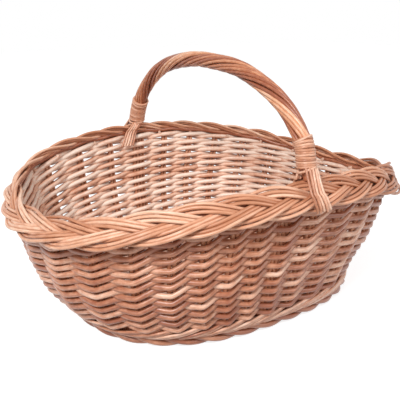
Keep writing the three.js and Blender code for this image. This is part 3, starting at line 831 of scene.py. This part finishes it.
def buildBent():
    b = bent
    count = shape["stakeCount"]
    steps = count * b["stepsPerStake"]
    u = np.arange(steps) / steps
    rods = []
    for v, inward in b["places"]:
        point, normal, climb = wallFrame(u, v)
        ripple = b["ripple"] * np.sin(2 * math.pi * (count * u + b["phase"] * v))
        path = point - normal * inward + climb * ripple[:, None]
        rods.append({"path": path, "radius": b["radius"], "tone": b["tone"], "closed": True})
    layRods("bent_stakes", rods, "wallWillow")


buildBent()
print("stakes bent over")


# CAD sticks of the base keep their shape and take the willow's finish

for name in named("base_long_stick", "base_cross_stick"):
    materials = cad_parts[name].data.materials
    materials.clear()
    materials.append(willows["borderWillow"])


# Floor, light and camera

studio = {"floorColour": (0.45, 0.45, 0.45, 1), "floorGlow": 0.78, "floorRough": 0.9, "floorSize": 8,
          "floorHeight": -0.0004, "sky": 0.34, "aim": (0, 0, 0.08),
          "lamps": {"key": {"place": (-1.3, -0.8, 1.45), "size": 0.7, "power": 34.5},
                    "fill": {"place": (0.8, -1.4, 1.0), "size": 1.2, "power": 11.0}}}


def seenDirectly(nodes, links):
    # 1 for what the camera sees, straight or in a reflection
    path = nodes.new("ShaderNodeLightPath")
    total = path.outputs["Is Camera Ray"]
    for name in ("Is Glossy Ray", "Is Transmission Ray"):
        either = nodes.new("ShaderNodeMath")
        either.operation = "MAXIMUM"
        links.new(total, either.inputs[0])
        links.new(path.outputs[name], either.inputs[1])
        total = either.outputs["Value"]
    return total


def plainFloor():
    bpy.ops.object.select_all(action="DESELECT")
    bpy.ops.mesh.primitive_plane_add(size=studio["floorSize"], location=(0, 0, studio["floorHeight"]))
    floor = bpy.context.object
    floor.name = "floor"
    mat = bpy.data.materials.new("floorWhite")
    mat.use_nodes = True
    nodes, links = mat.node_tree.nodes, mat.node_tree.links
    shader = nodes["Principled BSDF"]
    shader.inputs["Base Color"].default_value = studio["floorColour"]
    shader.inputs["Roughness"].default_value = studio["floorRough"]
    shader.inputs["Emission Color"].default_value = (1, 1, 1, 1)
    glow = nodes.new("ShaderNodeMath")
    glow.operation = "MULTIPLY"
    glow.inputs[1].default_value = studio["floorGlow"]
    links.new(seenDirectly(nodes, links), glow.inputs[0])
    links.new(glow.outputs["Value"], shader.inputs["Emission Strength"])
    floor.data.materials.append(mat)


def addLamp(name, look):
    data = bpy.data.lights.new(name, "AREA")
    data.shape = "DISK"
    data.size = look["size"]
    data.energy = look["power"]
    lamp = bpy.data.objects.new(name, data)
    bpy.context.collection.objects.link(lamp)
    lamp.location = look["place"]
    ray = Vector(studio["aim"]) - Vector(look["place"])
    lamp.rotation_euler = ray.to_track_quat("-Z", "Y").to_euler()


def paleWorld():
    world = bpy.data.worlds.new("studio")
    bpy.context.scene.world = world
    world.use_nodes = True
    nodes, links = world.node_tree.nodes, world.node_tree.links
    background = nodes["Background"]
    background.inputs["Color"].default_value = (1, 1, 1, 1)
    sky = nodes.new("ShaderNodeMapRange")
    sky.inputs["To Min"].default_value = studio["sky"]
    sky.inputs["To Max"].default_value = 1.0
    links.new(seenDirectly(nodes, links), sky.inputs["Value"])
    links.new(sky.outputs["Result"], background.inputs["Strength"])


plainFloor()
for name, look in studio["lamps"].items():
    addLamp(name, look)
paleWorld()

view = {"azimuth": -33.59, "elevation": 17.41, "distance": 0.700, "target": (0, 0, 0.110),
        "focal": 592.23, "centre": (204.93, 192.91), "frame": 400, "sensor": 36, "clip": 0.01}


def photoCamera():
    az, el = math.radians(view["azimuth"]), math.radians(view["elevation"])
    back = Vector((math.sin(az) * math.cos(el), -math.cos(az) * math.cos(el), math.sin(el)))
    data = bpy.data.cameras.new("camera")
    data.sensor_width = view["sensor"]
    data.lens = view["focal"] / view["frame"] * view["sensor"]
    data.shift_x = (view["frame"] / 2 - view["centre"][0]) / view["frame"]
    data.shift_y = (view["centre"][1] - view["frame"] / 2) / view["frame"]
    data.clip_start = view["clip"]
    camera = bpy.data.objects.new("camera", data)
    bpy.context.collection.objects.link(camera)
    camera.location = Vector(view["target"]) + back * view["distance"]
    camera.rotation_euler = (-back).to_track_quat("-Z", "Y").to_euler()
    bpy.context.scene.camera = camera


photoCamera()
bpy.context.scene.view_settings.view_transform = "Standard"
print("studio set")
